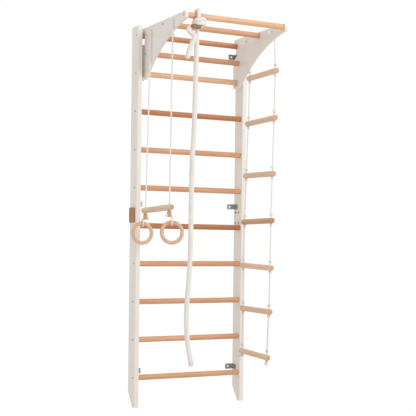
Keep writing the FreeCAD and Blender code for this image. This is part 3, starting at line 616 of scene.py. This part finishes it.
# The knot round the front bar: one turn over the bar, and the wraps under it. Their places
# are (across, forward, up) in millimetres from the bar's axis above the knot's middle.
bar_axis = Vector((-0.2295, -0.6180, 1.0145))
knot_strands = {
    "climbing_rope_turn": (
        (-4.5, 0, -86),
        (-4.5, 1, -66),
        (-6, 6, -46),
        (-9, 18, -34),
        (-9, 29, -14),
        (-9, 29, 4),
        (-6, 26, 20),
        (-2, 0, 33),
        (-2, -26, 20),
        (-5, -30, -6),
        (-7, -26, -28),
        (-4, -8, -44),
    ),
    "climbing_rope_wraps": (
        (-2, 0, -61),
        (-20, -10, -50),
        (-29, 8, -39),
        (-27, 26, -31),
        (-12, 38, -27),
        (17, 32, -19),
        (36, 12, -22),
        (34, -12, -30),
        (4, -22, -40),
        (-23, -4, -45),
        (-27, 18, -46),
        (-13, 34, -46),
        (15, 32, -40),
        (34, 14, -42),
        (27, 0, -48),
        (6, -6, -57),
    ),
}
for name, places in knot_strands.items():
    thick_rope(
        name,
        [bar_axis + Vector((across, -forward, up)) * mm for across, forward, up in places],
        knot_strand_diameter,
        knot_strand_steps,
        "rope_knot",
        "climbing_rope_knot",
    )


# Thin ropes, which swing about the frame plates' holes

def tight_knot():
    """Overhand knot of a thin rope, which stands up round its own middle."""
    radius, lobe, rise = 5.3, 2.1, 5.2
    count = 24
    points = []
    for index in range(count + 1):
        turn = math.tau * index / count
        reach = radius - lobe * math.cos(3 * turn)
        points.append(
            (reach * math.cos(2 * turn), reach * math.sin(2 * turn), rise * math.sin(3 * turn))
        )
    return plait(
        "tight_knot",
        metres(points),
        tight_knot_diameter,
        thin_strands,
        tight_knot_steps,
        thin_sides,
        end_share=0.05,
    )[0]


def rope_end(name, places):
    """Short stretch of thin rope through a few places in millimetres."""
    return plait(
        name,
        metres(places),
        thin_rope_diameter,
        thin_strands,
        rope_end_steps,
        thin_sides,
        end_share=0.2,
    )[0]


def thin_rope(name, points, body, replaced):
    """A thin rope along its points, put in place of a node on a body."""
    steps = straight_rope_steps if len(points) == 3 else bent_rope_steps
    mesh, places = plait(name, points, thin_rope_diameter, thin_strands, steps, thin_sides)
    rope = stand(name, mesh, "thin_rope", body, replaced)


knot = tight_knot()

# Each frame plate's two holes, and the rope in them: a stub out through the hole, a knot
# against the plate's inner face, and the knot's short end. The rope hangs outside the plate.
# Routes are in millimetres, the short end's first value outwards.
hole_height = 1.0150
hole_depths = {"front": -0.4910, "rear": -0.1910}
hang_across = 0.3180
plate_inner = 0.2970
stop_knot_size = 0.84
stop_knot_seat = 7 * mm
stop_knot_turns_deg = (20, 140)
stub_route = ((0, 0, -14), (0, 0, 4), (0, 0, 21))
short_end_seat = 9 * mm
short_end_route = ((0, 0, 0), (-8, -3, -3), (-12, -5, -12), (-11, -6, -22))

for side, rope_kind in ((-1, "trapeze"), (1, "ladder")):
    parts = []
    outwards = ACROSS * side
    for turn_deg, depth in zip(stop_knot_turns_deg, hole_depths.values()):
        seat = Vector((side * plate_inner, depth, hole_height))
        stop = seat - outwards * stop_knot_seat
        parts.append((knot, facing(stop, outwards, turn_deg, stop_knot_size)))
        parts.append((rope_end("stub", stub_route), facing(seat, outwards)))
        end = [(out * side, back, up) for out, back, up in short_end_route]
        start = seat - outwards * short_end_seat
        parts.append((rope_end("short_end", end), Matrix.Translation(start)))
    stand_joined(
        f"{rope_kind}_ropes_through_plate",
        parts,
        "thin_rope",
        "pull_up_frame",
        f"{rope_kind}_rope_stops",
    )

# Trapeze: for each end, the foot of its rope in the toggle, the toggle's cross bore, the side
# to which the ring's loop leaves it, how far below the bore the ring's centre lies in
# millimetres, the way in which the ring is turned, and the lengths of the rope and the loop
trapeze_ends = {
    "front": {
        "foot": (-0.3265, -0.4908, -0.0353),
        "bore": (-0.3266, -0.4908, -0.0485),
        "side": 1,
        "ring_drop": 91,
        "turn_deg": -24,
        "length": 1.046,
        "loop_length": 0.124,
    },
    "rear": {
        "foot": (-0.3405, -0.1912, -0.0453),
        "bore": (-0.3408, -0.1912, -0.0585),
        "side": -1,
        "ring_drop": 84,
        "turn_deg": -4,
        "length": 1.056,
        "loop_length": 0.111,
    },
}
rope_sag = 0.4 * mm
toggle_knot_seat = 16 * mm
toggle_knot_turn_deg = 40
toggle_knot_size = 0.8
cross_bore_route = ((0, 0, -20), (0, 0, 0), (0, 0, 17))
pivot_reach = 17.0 * mm
ring_radius = 55.5
loop_radius = 14.7
slip_knot_drop = 85 * mm
slip_knot_turn_deg = 10


def loop_places(rise):
    """Half of a ring's loop: shares of the loop's radius sideways, and heights in millimetres
    over the middle of the ring's tube, from a given height at the pivot to under the tube."""
    return (
        (0.1, rise),
        (0.35, rise - 5),
        (0.85, (rise + loop_radius) * 0.42),
        (1.08, -1),
        (0.98, -0.66 * loop_radius),
        (0.5, -1.1 * loop_radius),
    )


bound_knots = []
for end, hang in trapeze_ends.items():
    top = Vector((-hang_across, hole_depths[end], hole_height))
    foot = Vector(hang["foot"])
    thin_rope(
        f"trapeze_rope_{end}_plait",
        [top, top.lerp(foot, 0.5) + ACROSS * rope_sag, foot],
        "trapeze",
        f"trapeze_rope_{end}",
    )
    outwards = ACROSS * hang["side"]
    bore = Vector(hang["bore"])
    knot_place = bore - outwards * toggle_knot_seat
    bound_knots.append(
        (knot, facing(knot_place, outwards, toggle_knot_turn_deg, toggle_knot_size))
    )
    bound_knots.append((rope_end("cross_bore", cross_bore_route), facing(bore, outwards)))
    turn = math.radians(hang["turn_deg"])
    sideways = Vector((-math.sin(turn), math.cos(turn), 0))
    rise = hang["ring_drop"] - ring_radius
    half = loop_places(rise)
    places = [(share, up) for share, up in half] + [(-share, up) for share, up in reversed(half)]
    loop_top = bore + outwards * pivot_reach - UP * rise * mm
    thin_rope(
        f"ring_loop_{end}_plait",
        [loop_top + sideways * share * loop_radius * mm + UP * up * mm for share, up in places],
        f"ring_{end}",
        f"ring_loop_{end}",
    )

slip_top = Vector((-hang_across, hole_depths["front"], hole_height))
slip_way = (Vector(trapeze_ends["front"]["foot"]) - slip_top).normalized()
slip_place = slip_top + slip_way * slip_knot_drop
bound_knots.append((knot, facing(slip_place, slip_way, slip_knot_turn_deg)))
stand_joined("trapeze_tied_knots", bound_knots, "thin_rope", "trapeze", "trapeze_knots")

# Ladder: the places at which each rope passes the rungs' axes, and its lowest knot
ladder_points = {
    "front": (
        (0.3180, -0.4910, 1.0150),
        (0.3223, -0.4970, 0.7909),
        (0.3238, -0.4870, 0.5241),
        (0.3249, -0.4710, 0.2066),
        (0.3265, -0.4599, -0.0615),
        (0.3286, -0.4518, -0.3334),
        (0.3252, -0.4500, -0.5849),
        (0.3212, -0.4369, -0.8487),
        (0.3212, -0.4369, -0.8740),
    ),
    "rear": (
        (0.3180, -0.1910, 1.0150),
        (0.3233, -0.1970, 0.7919),
        (0.3218, -0.1870, 0.5220),
        (0.3207, -0.1711, 0.2113),
        (0.3191, -0.1600, -0.0652),
        (0.3170, -0.1522, -0.3250),
        (0.3204, -0.1500, -0.5834),
        (0.3244, -0.1371, -0.8409),
        (0.3244, -0.1371, -0.8660),
    ),
}
ladder_lengths = {"front": 1.909, "rear": 1.901}
# The ropes' loose ends under the lowest knots, in millimetres from the knot's middle
ladder_ends = {
    "front": (
        ((0, 0, 0), (-5, -3, -7), (-12, -6, -10), (-22, -9, -9)),
        ((0, 0, 0), (-1, -6, -8), (-4, -9, -15), (-9, -10, -23)),
    ),
    "rear": (((0, 0, 0), (-10, -4, -5), (-24, -6, -9), (-40, -6, -9)),),
}
# A knot above and one under each rung. The top rung's upper knots stand clear of the plate.
rung_radius = 16.5 * mm
knot_lift = 20 * mm
knot_half = 8.5 * mm
top_knot_clearance = 2 * mm
rung_knot_turn_deg = 70
under_knot_turn_deg = 30
under_knot_size = 0.95

for end, length in ladder_lengths.items():
    points = [Vector(place) for place in ladder_points[end]]
    parts = []
    for index, (before, hole, after) in enumerate(zip(points, points[1:], points[2:])):
        upwards = (before - hole).normalized()
        downwards = (after - hole).normalized()
        clear = ACROSS * (top_knot_clearance if index == 0 else 0)
        above = hole + upwards * (rung_radius + knot_lift) + clear
        under = hole + downwards * (rung_radius + knot_half)
        turn_deg = rung_knot_turn_deg * index
        parts.append((knot, facing(above, upwards, turn_deg)))
        parts.append(
            (knot, facing(under, upwards, turn_deg + under_knot_turn_deg, under_knot_size))
        )
    for places in ladder_ends[end]:
        parts.append((rope_end("loose_end", places), Matrix.Translation(under)))
    knots = stand_joined(
        f"ladder_tied_knots_{end}", parts, "thin_rope", "rope_ladder", f"ladder_knots_{end}"
    )
    thin_rope(
        f"ladder_rope_{end}_plait",
        points,
        "rope_ladder",
        f"ladder_rope_{end}",
    )


# Wood screws, one at each end of every rung and bar: the head's (radius, height) outline from
# under the surface to its top, the shank and the cross recess, in millimetres
screw_head_radius = 5.2
screw_top = 1.7
screw_head_outline = (
    (screw_head_radius, -0.2),
    (screw_head_radius, 0.4),
    (screw_head_radius - 0.5, 1.0),
    (screw_head_radius - 1.6, 1.5),
    (screw_head_radius - 2.4, screw_top),
)
shank_radius = 2.5
neck_depth = 2.8
recess_radius = 2.4
recess_floor_radius = 1.7
recess_depth = 0.4
recess_waist_share = 0.42
recess_floor_waist_share = 0.5
rung_screw_length = 62
bar_screw_length = 50
# How far each screw is turned from the one before, and from the one at its bar's other end
screw_turn_deg = 37
screw_half_turn_deg = 20


def ring_of(shape, radius, height, waist_share=None):
    """Closed loop of edges round the upright axis: a circle, or a cross whose four arms reach
    the circle and are drawn in by a share between them."""
    segments, arm_segments, drawn_in = 32, 8, (2, 3, 4, 5, 6)
    made = bmesh.ops.create_circle(shape, cap_ends=False, segments=segments, radius=radius)["verts"]
    for index, vert in enumerate(made):
        vert.co.z = height
        if waist_share and index % arm_segments in drawn_in:
            vert.co.xy *= waist_share
    return list({edge for vert in made for edge in vert.link_edges})


def wood_screw(length):
    """Screw that stands in the surface at height 0: domed head, cross recess and shank."""
    shape = bmesh.new()
    outline = (
        (shank_radius, -length, None),
        (shank_radius, -neck_depth, None),
        *((radius, height, None) for radius, height in screw_head_outline),
        (recess_radius, screw_top, recess_waist_share),
        (recess_floor_radius, -recess_depth, recess_floor_waist_share),
    )
    loops = [
        ring_of(shape, radius * mm, height * mm, waist_share)
        for radius, height, waist_share in outline
    ]
    for lower, upper in zip(loops, loops[1:]):
        bmesh.ops.bridge_loops(shape, edges=lower + upper)
    bmesh.ops.holes_fill(shape, edges=shape.edges, sides=0)
    bmesh.ops.recalc_face_normals(shape, faces=shape.faces)
    return mesh_of("wood_screw", shape)


def screw_row(name, bars, board, length, body, replaced):
    """Screws through the two boards' outer faces into the ends of some bars."""
    screw = wood_screw(length)
    reach = max(abs(corner[0]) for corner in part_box(board))
    parts = []
    for index, bar in enumerate(bars):
        low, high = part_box(bar)
        middle = (Vector(low) + Vector(high)) / 2
        for side in (-1, 1):
            seat = Vector((side * reach, middle.y, middle.z))
            turn_deg = screw_turn_deg * index + screw_half_turn_deg * side
            parts.append((screw, facing(seat, ACROSS * side, turn_deg)))
    return stand_joined(name, parts, "brass_screw", body, replaced)


screw_row(
    "rung_wood_screws",
    [f"wall_rung_{index:02d}" for index in range(1, 11)],
    "left_upright_lower",
    rung_screw_length,
    "stall_bars",
    "rung_screws",
)
screw_row(
    "frame_bar_wood_screws",
    ["pull_up_bar_front", "pull_up_bar_middle", "pull_up_bar_rear"],
    "left_frame_plate",
    bar_screw_length,
    "pull_up_frame",
    "frame_bar_screws",
)


# Studio

def light():
    """White sky, which looks whiter than it lights, and a large soft lamp from the right."""
    world = bpy.data.worlds.new("studio")
    bpy.context.scene.world = world
    sky = Finish(world)
    rays = sky.node("ShaderNodeLightPath")
    seen, glossy, through = (
        Wire(sky, rays.socket.node.outputs[f"Is {kind} Ray"])
        for kind in ("Camera", "Glossy", "Transmission")
    )
    shown = seen.math("MAXIMUM", seen, glossy)
    shown = shown.math("MAXIMUM", shown, through)
    strength = sky_level + (backdrop_level - sky_level) * shown
    sky.feed(sky.tree.nodes["Background"], {"Color": (1, 1, 1, 1), "Strength": strength})
    key = bpy.data.lights.new("key", "AREA")
    key.shape = "DISK"
    key.size = lamp_size
    key.energy = lamp_power
    lamp = bpy.data.objects.new("key", key)
    bpy.context.scene.collection.objects.link(lamp)
    turn = (lamp_aim - lamp_place).to_track_quat("-Z", "Y").to_matrix().to_4x4()
    lamp.matrix_world = Matrix.Translation(lamp_place) @ turn


def lay_floor():
    """White floor under the object, which takes no shadow in the picture."""
    shape = bmesh.new()
    bmesh.ops.create_grid(shape, x_segments=1, y_segments=1, size=floor_half)
    bmesh.ops.translate(shape, verts=shape.verts, vec=(0, 0, cad_box[0][2]))
    mesh = mesh_of("floor", shape)
    floor = bpy.data.objects.new("floor", mesh)
    bpy.context.scene.collection.objects.link(floor)
    finish = new_finish("floor_white")
    seen = finish.node("ShaderNodeLightPath", output="Is Camera Ray")
    finish.surface(
        Base_Color=finish.blend(seen, (floor_level, floor_level, floor_level, 1), (0, 0, 0, 1)),
        Roughness=0.9,
        Specular_IOR_Level=0,
        Emission_Color=(1, 1, 1, 1),
        Emission_Strength=backdrop_level * seen,
    )
    mesh.materials.append(finish.owner)


def place_camera():
    data = bpy.data.cameras.new("camera")
    data.lens = camera_lens
    data.sensor_width = camera_sensor
    data.shift_y = camera_shift
    data.clip_end = camera_reach
    camera = bpy.data.objects.new("camera", data)
    bpy.context.scene.collection.objects.link(camera)
    camera.matrix_world = (
        Matrix.Translation(camera_place)
        @ Matrix.Rotation(math.radians(camera_yaw_deg), 4, "Z")
        @ Matrix.Rotation(math.pi / 2, 4, "X")
        @ Matrix.Rotation(math.radians(camera_roll_deg), 4, "Z")
    )
    bpy.context.scene.camera = camera


light()
lay_floor()
place_camera()
bpy.context.scene.view_settings.view_transform = "Standard"
